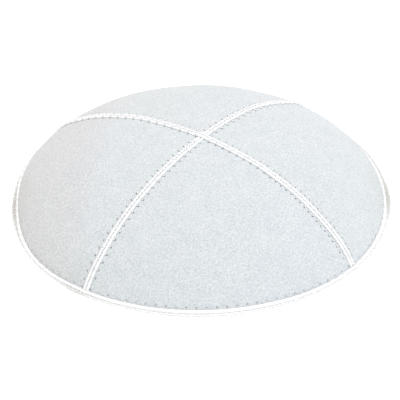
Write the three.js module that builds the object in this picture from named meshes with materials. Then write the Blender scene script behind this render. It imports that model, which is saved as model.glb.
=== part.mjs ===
import * as THREE from "three";

// A skullcap of four suede gores with taped seams and a bound rim, in millimetres, +Z up.
// It stands on its rim at z = 0. Azimuths run from +X toward +Y, the back of the cap, and the two
// seams cross at the top on the diagonals.

// Driving dimensions
const RIM_DIAMETER = 165; // over the binding
const CROWN_RISE = 34.2; // top of the suede over its cut lower edge
const SUEDE_THICKNESS = 1.2;
const TAPE_WIDTH = 2.8;
const TAPE_THICKNESS = 1;
const TAPE_GROOVE = 0.3; // depth of the stitched groove along the middle of a tape
const BINDING_THICKNESS = 1;
const BINDING_OVERLAP = 1.2; // how far the binding reaches up over the cut edge of the suede
const CLEARANCE = 0.3; // between pieces that lie on each other
const SEAM_GAP = 0.3; // between the cut edges of two gores
const TIP_RADIUS = 0.8; // where the tips of the gores and the short tapes stop
const HUMP_RAMP = 4; // length in which the long tape climbs onto the short ones

// Seen from the side, the crown is an arc that turns through the fullness from its top to its cut
// edge. Worn suede is a little uneven: one side stands steeper, and the top leans off the middle.
const FULLNESS = 79; // degrees
const FULLNESS_SWING = 8; // degrees more at the steep side, and as many less opposite
const STEEP_AZIMUTH = 108; // degrees
const TOP_LEAN_X = 1.2;
const TOP_LEAN_Y = -0.5;

// Facets. The pieces share rows and columns, which keeps the gaps between them even.
const ROWS = 16; // from the tips of the gores down to the ends of the tapes
const COLUMNS = 12; // across one gore
const HUMP_STEPS = 4;

const QUARTER_TURN = Math.PI / 2;
const LONG_SEAM = 1.5 * QUARTER_TURN;
const FRONT_LEFT_SEAM = 2.5 * QUARTER_TURN;
const BACK_RIGHT_SEAM = 0.5 * QUARTER_TURN;
const CROWN_RADIUS = RIM_DIAMETER / 2 - BINDING_THICKNESS - CLEARANCE;
const CUT_EDGE_HEIGHT = BINDING_THICKNESS + CLEARANCE;
const BINDING_HEIGHT = CUT_EDGE_HEIGHT + BINDING_OVERLAP;
const TAPE_END_HEIGHT = BINDING_HEIGHT + CLEARANCE;
const HUMP_FLAT = TAPE_WIDTH / 2 + CLEARANCE; // reaches just past the short tapes' edges

// A tape's upper face: across as a share of the half width, height as a share of the thickness
const TAPE_SECTION = [
  { across: -1, height: 0.7 },
  { across: -0.55, height: 1 },
  { across: 0, height: 1 - TAPE_GROOVE / TAPE_THICKNESS },
  { across: 0.55, height: 1 },
  { across: 1, height: 0.7 },
];

const GORES = [
  { name: "panel_right", middle: 0 },
  { name: "panel_back", middle: QUARTER_TURN },
  { name: "panel_left", middle: 2 * QUARTER_TURN },
  { name: "panel_front", middle: 3 * QUARTER_TURN },
];

const suede = new THREE.MeshStandardMaterial({ name: "suede", color: 0xdfe5e8, roughness: 0.95 });
const tape = new THREE.MeshStandardMaterial({ name: "tape", color: 0xf6f6f4, roughness: 0.8 });

// The crown's shape

function fullnessAngle(azimuth) {
  const steepSide = THREE.MathUtils.degToRad(STEEP_AZIMUTH);
  return THREE.MathUtils.degToRad(FULLNESS + FULLNESS_SWING * Math.cos(azimuth - steepSide));
}

// Distance from the crown's axis. Share runs from 0 at the top to 1 at the cut edge, and lift is
// how far a face stands outside the suede's outer face.
function crownRadius(azimuth, share, lift) {
  const angle = fullnessAngle(azimuth);
  return ((CROWN_RADIUS + lift) * Math.sin(share * angle)) / Math.sin(angle);
}

// All lifts end at the same level at the cut edge
function crownPoint(azimuth, share, lift) {
  const angle = fullnessAngle(azimuth);
  const radius = crownRadius(azimuth, share, lift);
  const riseShare = (Math.cos(share * angle) - Math.cos(angle)) / (1 - Math.cos(angle));
  const lean = 1 - share * share;
  return new THREE.Vector3(
    radius * Math.cos(azimuth) + TOP_LEAN_X * lean,
    radius * Math.sin(azimuth) + TOP_LEAN_Y * lean,
    CUT_EDGE_HEIGHT + (CROWN_RISE + lift) * riseShare,
  );
}

function shareAtHeight(azimuth, height, lift) {
  const angle = fullnessAngle(azimuth);
  const riseShare = (height - CUT_EDGE_HEIGHT) / (CROWN_RISE + lift);
  return Math.acos(Math.cos(angle) + riseShare * (1 - Math.cos(angle))) / angle;
}

function shareAtRadius(azimuth, radius) {
  const angle = fullnessAngle(azimuth);
  return Math.asin((radius * Math.sin(angle)) / CROWN_RADIUS) / angle;
}

// Row 0 is at the tips of the gores, and row ROWS where the tapes end above the binding
function rowShare(azimuth, row) {
  const first = shareAtRadius(azimuth, TIP_RADIUS);
  const last = shareAtHeight(azimuth, TAPE_END_HEIGHT, 0);
  return THREE.MathUtils.lerp(first, last, row / ROWS);
}

// Solids swept through rings of points

// Each ring is counterclockwise as seen when looking toward the next one. A loop joins its last
// ring to its first. Otherwise both ends are closed.
function sweptSolid(rings, loop) {
  const count = rings[0].length;
  const spans = loop ? rings.length : rings.length - 1;
  const indices = [];
  for (let span = 0; span < spans; span += 1) {
    const here = span * count;
    const next = ((span + 1) % rings.length) * count;
    for (let i = 0; i < count; i += 1) {
      const j = (i + 1) % count;
      indices.push(here + i, next + i, here + j, here + j, next + i, next + j);
    }
  }
  if (!loop) {
    indices.push(...endFaces(0, count), ...endFaces(spans * count, count).reverse());
  }
  const geometry = new THREE.BufferGeometry();
  const positions = rings.flat().flatMap((point) => point.toArray());
  geometry.setAttribute("position", new THREE.Float32BufferAttribute(positions, 3));
  geometry.setIndex(indices);
  geometry.computeVertexNormals();
  return geometry;
}

// Closes a ring that is a flat strip, whose first half lies opposite its second half in reverse
function endFaces(start, count) {
  const faces = [];
  for (let i = 0; i < count / 2 - 1; i += 1) {
    const a = start + i;
    const d = start + count - 1 - i;
    faces.push(a, a + 1, d - 1, a, d - 1, d);
  }
  return faces;
}

// Gores

function gorePoint(middle, row, column, lift) {
  const turn = column / COLUMNS - 0.5;
  const azimuth = middle + QUARTER_TURN * turn;
  const share = row > ROWS ? 1 : rowShare(azimuth, row);
  const seamInset = Math.asin(SEAM_GAP / 2 / crownRadius(azimuth, share, lift));
  return crownPoint(azimuth - 2 * seamInset * turn, share, lift);
}

function goreRing(middle, row) {
  const outer = [];
  const inner = [];
  for (let column = 0; column <= COLUMNS; column += 1) {
    outer.push(gorePoint(middle, row, column, 0));
    inner.unshift(gorePoint(middle, row, column, -SUEDE_THICKNESS));
  }
  return [...outer, ...inner];
}

// The last row, past the ends of the tapes, is the cut edge inside the binding
function gore(middle) {
  const rings = [];
  for (let row = 0; row <= ROWS + 1; row += 1) {
    rings.push(goreRing(middle, row));
  }
  return sweptSolid(rings, false);
}

// Seam tapes

// A tape's section, whose left side faces the azimuth plus a quarter turn. Its middle lies at a
// share of the seam, and its lower face stands lift outside the suede.
function tapeRing(azimuth, share, lift, mirrored) {
  const step = 0.0001;
  const middle = crownPoint(azimuth, share, lift);
  const along = crownPoint(azimuth, share + step, lift).sub(middle).normalize();
  const around = crownPoint(azimuth + step, share + step, lift)
    .sub(crownPoint(azimuth - step, share + step, lift))
    .normalize();
  const up = along.clone().cross(around).normalize();
  const left = up.clone().cross(along).multiplyScalar(mirrored ? -1 : 1);
  const place = (across, height) => middle
    .clone()
    .addScaledVector(left, (across * TAPE_WIDTH) / 2)
    .addScaledVector(up, height * TAPE_THICKNESS);
  const upper = TAPE_SECTION.map((point) => place(point.across, point.height));
  const lower = TAPE_SECTION.map((point) => place(point.across, 0)).reverse();
  return [...upper, ...lower];
}

// Rings of a tape from row 0 down to its end, along one half of a seam
function shortTapeRings(azimuth) {
  const rings = [];
  for (let row = 0; row <= ROWS; row += 1) {
    rings.push(tapeRing(azimuth, rowShare(azimuth, row), CLEARANCE, false));
  }
  return rings;
}

// The long tape lies on the short ones at the top and comes down to the suede on a ramp
function humpLift(radius) {
  const down = THREE.MathUtils.smoothstep(radius, HUMP_FLAT, HUMP_FLAT + HUMP_RAMP);
  return CLEARANCE + (TAPE_THICKNESS + CLEARANCE) * (1 - down);
}

// Rings of the long tape from the top outward, along one half of its seam
function longTapeRings(azimuth, mirrored) {
  const rings = [];
  for (let step = 0; step <= HUMP_STEPS; step += 1) {
    const radius = HUMP_FLAT + (HUMP_RAMP * step) / HUMP_STEPS;
    rings.push(tapeRing(azimuth, shareAtRadius(azimuth, radius), humpLift(radius), mirrored));
  }
  const foot = shareAtRadius(azimuth, HUMP_FLAT + HUMP_RAMP);
  for (let row = 1; row <= ROWS; row += 1) {
    const share = rowShare(azimuth, row);
    if (share > foot) {
      rings.push(tapeRing(azimuth, share, CLEARANCE, mirrored));
    }
  }
  return rings;
}

function longTape() {
  const startHalf = longTapeRings(LONG_SEAM + 2 * QUARTER_TURN, true).reverse();
  const endHalf = longTapeRings(LONG_SEAM, false);
  return sweptSolid([...startHalf, ...endHalf], false);
}

// Rim binding

// A flap's upper edge, on the face that stands lift outside the suede's outer face
function flapTop(azimuth, lift) {
  return crownPoint(azimuth, shareAtHeight(azimuth, BINDING_HEIGHT, lift), lift);
}

// A point under the crown's cut edge at a height over the floor
function belowEdge(azimuth, lift, height) {
  return crownPoint(azimuth, 1, lift).setZ(height);
}

// A U round the cut edge: an outer flap, a flat foot and an inner flap
function bindingRing(azimuth) {
  const outerFace = CLEARANCE + BINDING_THICKNESS;
  const outerLining = CLEARANCE;
  const innerLining = -SUEDE_THICKNESS - CLEARANCE;
  const innerFace = innerLining - BINDING_THICKNESS;
  return [
    belowEdge(azimuth, outerFace, 0),
    belowEdge(azimuth, outerFace, CUT_EDGE_HEIGHT),
    flapTop(azimuth, outerFace),
    flapTop(azimuth, outerLining),
    belowEdge(azimuth, outerLining, CUT_EDGE_HEIGHT),
    belowEdge(azimuth, outerLining, BINDING_THICKNESS),
    belowEdge(azimuth, innerLining, BINDING_THICKNESS),
    belowEdge(azimuth, innerLining, CUT_EDGE_HEIGHT),
    flapTop(azimuth, innerLining),
    flapTop(azimuth, innerFace),
    belowEdge(azimuth, innerFace, CUT_EDGE_HEIGHT),
    belowEdge(azimuth, innerFace, 0),
  ];
}

function rimBinding() {
  const rings = [];
  for (let column = 0; column < 4 * COLUMNS; column += 1) {
    rings.push(bindingRing((QUARTER_TURN * column) / COLUMNS));
  }
  return sweptSolid(rings, true);
}

// Assembly

function piece(name, geometry, material) {
  const mesh = new THREE.Mesh(geometry, material);
  mesh.name = name;
  return mesh;
}

const skullcap = new THREE.Group();
skullcap.add(...GORES.map((row) => piece(row.name, gore(row.middle), suede)));
skullcap.add(
  piece("seam_tape_long", longTape(), tape),
  piece("seam_tape_front_left", sweptSolid(shortTapeRings(FRONT_LEFT_SEAM), false), tape),
  piece("seam_tape_back_right", sweptSolid(shortTapeRings(BACK_RIGHT_SEAM), false), tape),
  piece("rim_binding", rimBinding(), tape),
);

export default skullcap;
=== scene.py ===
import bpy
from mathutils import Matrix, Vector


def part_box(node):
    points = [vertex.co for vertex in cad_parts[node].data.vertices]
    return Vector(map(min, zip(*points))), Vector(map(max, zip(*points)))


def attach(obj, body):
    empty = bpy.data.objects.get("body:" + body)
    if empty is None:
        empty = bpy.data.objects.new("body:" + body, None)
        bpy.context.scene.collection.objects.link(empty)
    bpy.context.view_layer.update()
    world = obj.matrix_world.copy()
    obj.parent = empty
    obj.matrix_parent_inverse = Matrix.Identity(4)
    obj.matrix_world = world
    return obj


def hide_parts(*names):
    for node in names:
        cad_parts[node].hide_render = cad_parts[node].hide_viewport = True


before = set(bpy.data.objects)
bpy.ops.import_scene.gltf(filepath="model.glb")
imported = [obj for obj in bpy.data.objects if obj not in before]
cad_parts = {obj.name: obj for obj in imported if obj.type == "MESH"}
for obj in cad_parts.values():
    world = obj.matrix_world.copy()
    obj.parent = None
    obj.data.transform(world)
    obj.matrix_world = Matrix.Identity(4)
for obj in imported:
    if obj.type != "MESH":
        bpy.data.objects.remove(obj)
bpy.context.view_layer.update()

import math

import bmesh
import bpy
import numpy as np
from bpy.props import FloatProperty, FloatVectorProperty, PointerProperty
from bpy.types import Operator, Panel, PropertyGroup
from mathutils import Matrix, Vector
from mathutils.geometry import delaunay_2d_cdt

bl_info = {
    "name": "Suede skullcap",
    "version": (1, 0, 0),
    "blender": (4, 5, 0),
    "location": "View3D > Sidebar > Skullcap",
    "description": "Builds a four-gore suede skullcap with braided seams and a bound rim",
    "category": "Object",
}

MM = 0.001

# Sizes of the solids, in metres, as in the part's source
RIM_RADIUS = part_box("rim_binding")[1][0]
SUEDE_THICKNESS = 1.2 * MM
CLEARANCE = 0.3 * MM
BINDING_THICKNESS = 1.0 * MM
CUT_EDGE_HEIGHT = BINDING_THICKNESS + CLEARANCE
CROWN_RADIUS = RIM_RADIUS - BINDING_THICKNESS - CLEARANCE
CROWN_RISE = 34.2 * MM
SEAM_GAP = 0.3 * MM
TIP_RADIUS = 0.8 * MM
FULLNESS = math.radians(79)
FULLNESS_SWING = math.radians(8)
STEEP_AZIMUTH = math.radians(108)
TOP_LEAN_X = 1.2 * MM
TOP_LEAN_Y = -0.5 * MM

# How far the sewing strays from the pattern. The seams' crossing is off the top, which fades out
# down the sides, and the two back seams bow.
SEAM_DRIFT = (0.3 * MM, 1.15 * MM)
DRIFT_FADE = (38 * MM, 78 * MM)
SEAM_BOW = 1.8 * MM
BOW_START = 28 * MM
BOW_PEAK = 60 * MM
BOW_AT_SEAM = 2.83  # makes the bow whole on the diagonals, where the seams run

FULL_TURN = 2 * math.pi
QUARTER_TURN = math.pi / 2
LONG_SEAM = 1.5 * QUARTER_TURN
FRONT_LEFT_SEAM = 2.5 * QUARTER_TURN
BACK_RIGHT_SEAM = 0.5 * QUARTER_TURN
GORE_MIDDLES = {
    "right": 0,
    "back": QUARTER_TURN,
    "left": 2 * QUARTER_TURN,
    "front": 3 * QUARTER_TURN,
}

BRAID_HALF_WIDTH = 1.4 * MM
BRAID_HEIGHT = 0.66 * MM  # top of its cords over the suede, as pressed by the stitches
HUMP_FLAT = 1.6 * MM
HUMP_RAMP = 3.4 * MM
HUMP_LIFT = 0.5 * MM
YARN_SLANT = 1.6  # yarns by which a yarn shifts along the braid from the groove to the edge

# Camera of the photograph, found from the outline, the seams and the rim's stitches
VIEW_DISTANCE = 1.65
VIEW_ELEVATION = 0.6041967
VIEW_AZIMUTH = -0.1395509
VIEW_ROLL = 0.0109027
VIEW_TARGET = (-0.04 * MM, 0, 2.89 * MM)
PHOTO_SIDE = 400
FOCAL_PIXELS = 3773.46
SENSOR_WIDTH = 36

FLOOR_REACH = 6.0
FLOOR_DROP = 0.1 * MM  # keeps the floor's face clear of the binding's foot
KEY_PLACE = (0.42, 0.1, 1.6)
KEY_SIZE = 0.9


def linear(hex_colour):
    """Turns an sRGB hex colour into linear red, green and blue."""
    values = [int(hex_colour[i:i + 2], 16) / 255 for i in (1, 3, 5)]
    return tuple(v / 12.92 if v <= 0.04045 else ((v + 0.055) / 1.055) ** 2.4 for v in values)


def smooth_step(value, low, high):
    """Rises smoothly from 0 at low to 1 at high."""
    share = np.clip((value - low) / (high - low), 0, 1)
    return share * share * (3 - 2 * share)


def polar(distance, turn):
    """Flat points at a distance from the top and a turn round it."""
    return np.stack([distance * np.cos(turn), distance * np.sin(turn)], axis=-1)


def from_top(flat):
    """Distance of flat points from the top."""
    return np.hypot(flat[..., 0], flat[..., 1])


def wrapped(turn):
    """A turn as at most a half turn back or on."""
    return (turn + math.pi) % FULL_TURN - math.pi


# Shape of the crown. The suede is drawn on a flat pattern whose rays from the top keep their
# true length, and is then laid over the crown.

# The sewn rim isn't quite round: azimuth, and how far out it is in mm
RIM_WAVER = [
    (0, -0.3), (8, 0), (18, 0.9), (30, 1.5), (42, 1.1), (60, 0.4), (85, 0), (122, 0.2),
    (134, 1.3), (147, 1.4), (154, 0.7), (160, -0.4), (166, -1.2), (173, -1.5), (183, -0.9),
    (195, 0.2), (205, 0.6), (218, 0.3), (235, 0), (340, 0), (360, -0.3),
]


def around_mean(rows, azimuth):
    """Reads a table of azimuths and millimetres, smoothed over a few degrees."""
    turns, values = zip(*rows)
    offsets = np.radians(np.linspace(-9, 9, 13))
    around = np.degrees(np.asarray(azimuth)[..., None] + offsets) % 360
    return np.interp(around, turns, values).mean(axis=-1) * MM


def fullness(azimuth):
    """Angle of the crown's arc from its top to the cut edge."""
    return FULLNESS + FULLNESS_SWING * np.cos(azimuth - STEEP_AZIMUTH)


def crown(azimuth, share, lift):
    """Points of the crown, as in the part's source but for the slight waver of its rim. Share is
    0 at the top and 1 at the cut edge."""
    angle = fullness(azimuth)
    radius = (CROWN_RADIUS + lift) * np.sin(share * angle) / np.sin(angle)
    radius = radius + share ** 4 * around_mean(RIM_WAVER, azimuth)
    rise_share = (np.cos(share * angle) - np.cos(angle)) / (1 - np.cos(angle))
    lean = 1 - share * share
    return np.stack([
        radius * np.cos(azimuth) + TOP_LEAN_X * lean,
        radius * np.sin(azimuth) + TOP_LEAN_Y * lean,
        CUT_EDGE_HEIGHT + (CROWN_RISE + lift) * rise_share,
    ], axis=-1)


def crown_share(azimuth, height, lift):
    """Share at which the crown is at a height over the floor."""
    angle = fullness(azimuth)
    rise_share = np.maximum(height - CUT_EDGE_HEIGHT, 0) / (CROWN_RISE + lift)
    return np.arccos(np.cos(angle) + rise_share * (1 - np.cos(angle))) / angle


def mean_ray():
    """Distance from the top, share and distance from the axis along a ray of average fullness."""
    shares = np.linspace(0, 1.02, 6001)
    radii = CROWN_RADIUS * np.sin(shares * FULLNESS) / math.sin(FULLNESS)
    heights = CROWN_RISE * np.cos(shares * FULLNESS) / (1 - math.cos(FULLNESS))
    lengths = np.concatenate([[0], np.cumsum(np.hypot(np.diff(radii), np.diff(heights)))])
    return lengths, shares, radii


RAY_LENGTHS, RAY_SHARES, RAY_RADII = mean_ray()
RAY_END = float(np.interp(1, RAY_SHARES, RAY_LENGTHS))

# Slow waves of worn suede: across and along, in waves per metre, phase, and height
SUEDE_WAVES = [
    (31, 12, 0.4, 0.07 * MM),
    (-14, 37, 2.1, 0.06 * MM),
    (22, -43, 4.4, 0.05 * MM),
    (57, 29, 1.3, 0.03 * MM),
    (-48, 61, 5.2, 0.025 * MM),
]


def suede_waves(flat):
    """Height of the slow waves, which fade out at the rim."""
    height = np.zeros(flat.shape[:-1])
    for across, along, phase, size in SUEDE_WAVES:
        turn = FULL_TURN * (flat[..., 0] * across + flat[..., 1] * along)
        height = height + size * np.sin(turn + phase)
    return height * (1 - smooth_step(from_top(flat), RAY_END - 12 * MM, RAY_END - 4 * MM))


def drifted(flat):
    """Where the flat points come to lie, because the gores were not sewn quite true."""
    distance = from_top(flat)
    turn = np.arctan2(flat[..., 1], flat[..., 0])
    bow = -BOW_AT_SEAM * SEAM_BOW * np.cos(turn) * np.maximum(np.sin(turn), 0) ** 2
    bow = bow * smooth_step(distance, BOW_START, BOW_PEAK)
    bow = bow * (1 - smooth_step(distance, BOW_PEAK, RAY_END))
    turn = turn + bow / np.maximum(distance, MM)
    share = 1 - smooth_step(distance, *DRIFT_FADE)
    return polar(distance, turn) + share[..., None] * np.array(SEAM_DRIFT)


def lay(flat, lift=0.0):
    """Points over the flat pattern, on the face that stands lift outside the suede's outer face."""
    flat = drifted(flat)
    share = np.interp(from_top(flat), RAY_LENGTHS, RAY_SHARES)
    return crown(np.arctan2(flat[..., 1], flat[..., 0]), share, lift)


def outward(flat):
    """Unit normals of the crown over the flat pattern."""
    step = 0.3 * MM
    side = np.array([step, 0])
    ahead = np.array([0, step])
    normal = np.cross(lay(flat + side) - lay(flat - side), lay(flat + ahead) - lay(flat - ahead))
    return normal / np.linalg.norm(normal, axis=-1, keepdims=True)


def over_suede(flat, height):
    """Points at a height over the outer face of the suede, waves included."""
    return lay(flat) + outward(flat) * (height + suede_waves(flat))[..., None]


def seam_flat(azimuth, along, across):
    """Flat points of a seam. Across is a true length to the side of a greater azimuth."""
    stretch = np.interp(np.abs(along), RAY_LENGTHS[1:], RAY_LENGTHS[1:] / RAY_RADII[1:])
    side = across * stretch
    return np.stack([
        along * math.cos(azimuth) - side * math.sin(azimuth),
        along * math.sin(azimuth) + side * math.cos(azimuth),
    ], axis=-1)


def wall(azimuth, height, lift):
    """Points near the rim at a height over the floor, and straight down under the cut edge."""
    points = crown(azimuth, crown_share(azimuth, height, lift), lift)
    points[..., 2] = height
    return points


def wall_flat(azimuth, height):
    """Flat points of the suede's outer face at a height over the floor."""
    return polar(np.interp(crown_share(azimuth, height, 0), RAY_SHARES, RAY_LENGTHS), azimuth)


# Where the needle went through

# Each half of a seam: its azimuth, its first needle mark from the top, and whether the braid has
# the hump. The rows tell how the zigzag was guided: distance from the top in mm, stitch length
# and width as factors, and how far the zigzag is off the braid's middle in mm.
SEWN_HALVES = [
    (LONG_SEAM, 2.5 * MM, True, [(0, 1.11, 1, -0.8), (90, 1.11, 1, -0.8)]),
    (LONG_SEAM + math.pi, 2.75 * MM, True, [
        (0, 1.11, 1, 0.6), (34, 1.11, 1, 0.6), (42, 0.87, 1, 0.35), (50, 0.84, 1, 0.2),
        (55, 0.735, 1.02, 0.15), (65, 0.737, 1.08, -0.1), (90, 0.74, 1.13, -0.25),
    ]),
    (FRONT_LEFT_SEAM, 4.55 * MM, False, [
        (0, 1.077, 1, -0.12), (45, 1.077, 1, -0.12), (50, 0.98, 1, -0.12),
    ]),
    (BACK_RIGHT_SEAM, 4.45 * MM, False, [(0, 1.12, 1, -0.2), (90, 1.12, 1, -0.2)]),
]
LAST_STITCH = 3.4 * MM  # from the cut edge, under the binding

RIM_FIRST_STITCH = math.radians(-90.2)
RIM_MARK_GAP = 0.55 * MM  # from the binding's top to the needle marks in the suede
RIM_LOW_MARK = 0.24  # height of the lower needle marks as a share of the binding's
THREAD_ENTRY = 0.2 * MM  # from the middle of a needle hole to the thread that is drawn to its side

# Along the long seam's back half the nap has closed over the needle marks
CLOSED_SHARE = 0.45
CLOSED_REACH = 8 * MM


def seam_needle_marks(first, rows, settings):
    """Along and across of a zigzag's points on one half of a seam, in sewing order."""
    places, lengths, widths, middles = np.array(rows).T
    along = [first]
    while along[-1] < RAY_END - LAST_STITCH:
        factor = float(np.interp(along[-1] / MM, places, lengths))
        along.append(along[-1] + factor * settings.seam_stitch_length / 2)
    along = np.array(along[:-1])
    sides = np.where(np.arange(len(along)) % 2 == 0, 1, -1)
    middle = np.interp(along / MM, places, middles) * MM
    width = np.interp(along / MM, places, widths) * settings.seam_stitch_width
    return along, middle + sides * width / 2


def seam_halves(settings):
    """Each sewn half of a seam: azimuth, along and across of its needle marks, and hump."""
    halves = []
    for azimuth, first, humped, rows in SEWN_HALVES:
        along, across = seam_needle_marks(first, rows, settings)
        halves.append((azimuth, along, across, humped))
    return halves


def rim_needle_marks(settings):
    """Azimuths of the rim's upper needle marks, and of the lower ones between them."""
    count = round(FULL_TURN * CROWN_RADIUS / settings.rim_stitch_length)
    upper = RIM_FIRST_STITCH + np.arange(count) * FULL_TURN / count
    return upper, upper + math.pi / count


# The binding was folded by hand and stands higher at some places: azimuth and height in mm
BINDING_TOPS = [
    (0, 2.9), (20, 2.6), (60, 2.5), (110, 2.45), (150, 2.7), (172, 2.85), (186, 2.3), (200, 1.7),
    (213, 1.6), (222, 1.85), (231, 2.1), (243, 2.35), (256, 2.5), (275, 2.5), (286, 2.3),
    (296, 1.8), (306, 1.65), (316, 1.6), (326, 1.85), (338, 2.45), (350, 2.85), (360, 2.9),
]


def binding_top(azimuth):
    """Height over the floor of the binding's upper edge."""
    return around_mean(BINDING_TOPS, azimuth)


def closed_share(flat):
    """How far the nap has closed over the needle marks."""
    off_seam = np.abs(flat[..., 0] + flat[..., 1])
    return CLOSED_SHARE * ((flat[..., 0] < 0) & (off_seam < CLOSED_REACH))


def suede_marks(settings):
    """Flat points of every needle mark in the suede."""
    marks = [seam_flat(a, along, across) for a, along, across, _ in seam_halves(settings)]
    upper, _ = rim_needle_marks(settings)
    marks.append(wall_flat(upper, binding_top(upper) + RIM_MARK_GAP))
    return np.concatenate(marks)


# Meshes

def new_piece(name, vertices, faces, material, replaced=None):
    """Makes a smooth mesh piece in place, and hides the part that it replaces."""
    mesh = bpy.data.meshes.new(name)
    mesh.from_pydata(np.asarray(vertices).tolist(), [], faces)
    mesh.validate()
    mesh.shade_smooth()
    mesh.materials.append(material)
    return place_piece(name, mesh, replaced)


def place_piece(name, mesh, replaced=None):
    """Shows a finished mesh as a piece that rides on the cap."""
    piece = bpy.data.objects.new(name, mesh)
    bpy.context.scene.collection.objects.link(piece)
    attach(piece, "root")
    if replaced:
        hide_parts(replaced)
    return piece


def store(mesh, name, values):
    """Keeps one number for each vertex on the mesh."""
    layer = mesh.attributes.new(name, "FLOAT", "POINT")
    layer.data.foreach_set("value", np.asarray(values, dtype=np.float32))


def store_uv(mesh, name, values):
    """Keeps a UV map whose values are given for each vertex."""
    corners = np.empty(len(mesh.loops), dtype=np.int32)
    mesh.loops.foreach_get("vertex_index", corners)
    layer = mesh.uv_layers.new(name=name)
    layer.data.foreach_set("uv", np.asarray(values, dtype=np.float32)[corners].ravel())


def ring_faces(here, following, count):
    """Quads between two rings of points."""
    return [
        (here + i, following + i, following + (i + 1) % count, here + (i + 1) % count)
        for i in range(count)
    ]


def swept_faces(rings, count, loop):
    """Faces of a closed skin through rings of points, with its ends filled unless it loops."""
    faces = []
    for ring in range(rings if loop else rings - 1):
        faces += ring_faces(ring * count, (ring + 1) % rings * count, count)
    if not loop:
        faces.append(tuple(range(count)))
        faces.append(tuple(reversed(range((rings - 1) * count, rings * count))))
    return faces


# Materials

def add_node(tree, kind, settings=None, inputs=None):
    """Adds a node with its settings. Each input is a value, the socket that feeds it, or the node
    whose first output does."""
    node = tree.nodes.new(kind)
    for name, value in (settings or {}).items():
        setattr(node, name, value)
    for name, value in (inputs or {}).items():
        if isinstance(value, bpy.types.Node):
            value = next(socket for socket in value.outputs if socket.enabled)
        if isinstance(value, bpy.types.NodeSocket):
            tree.links.new(value, node.inputs[name])
        else:
            node.inputs[name].default_value = value
    return node


def new_material(name):
    """A material with an empty tree."""
    material = bpy.data.materials.new(name)
    material.use_nodes = True
    material.node_tree.nodes.clear()
    return material, material.node_tree


def shade(colour, amount=1):
    """A colour made lighter or darker, with full alpha."""
    return tuple(min(1.0, c * amount) for c in colour) + (1.0,)


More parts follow.
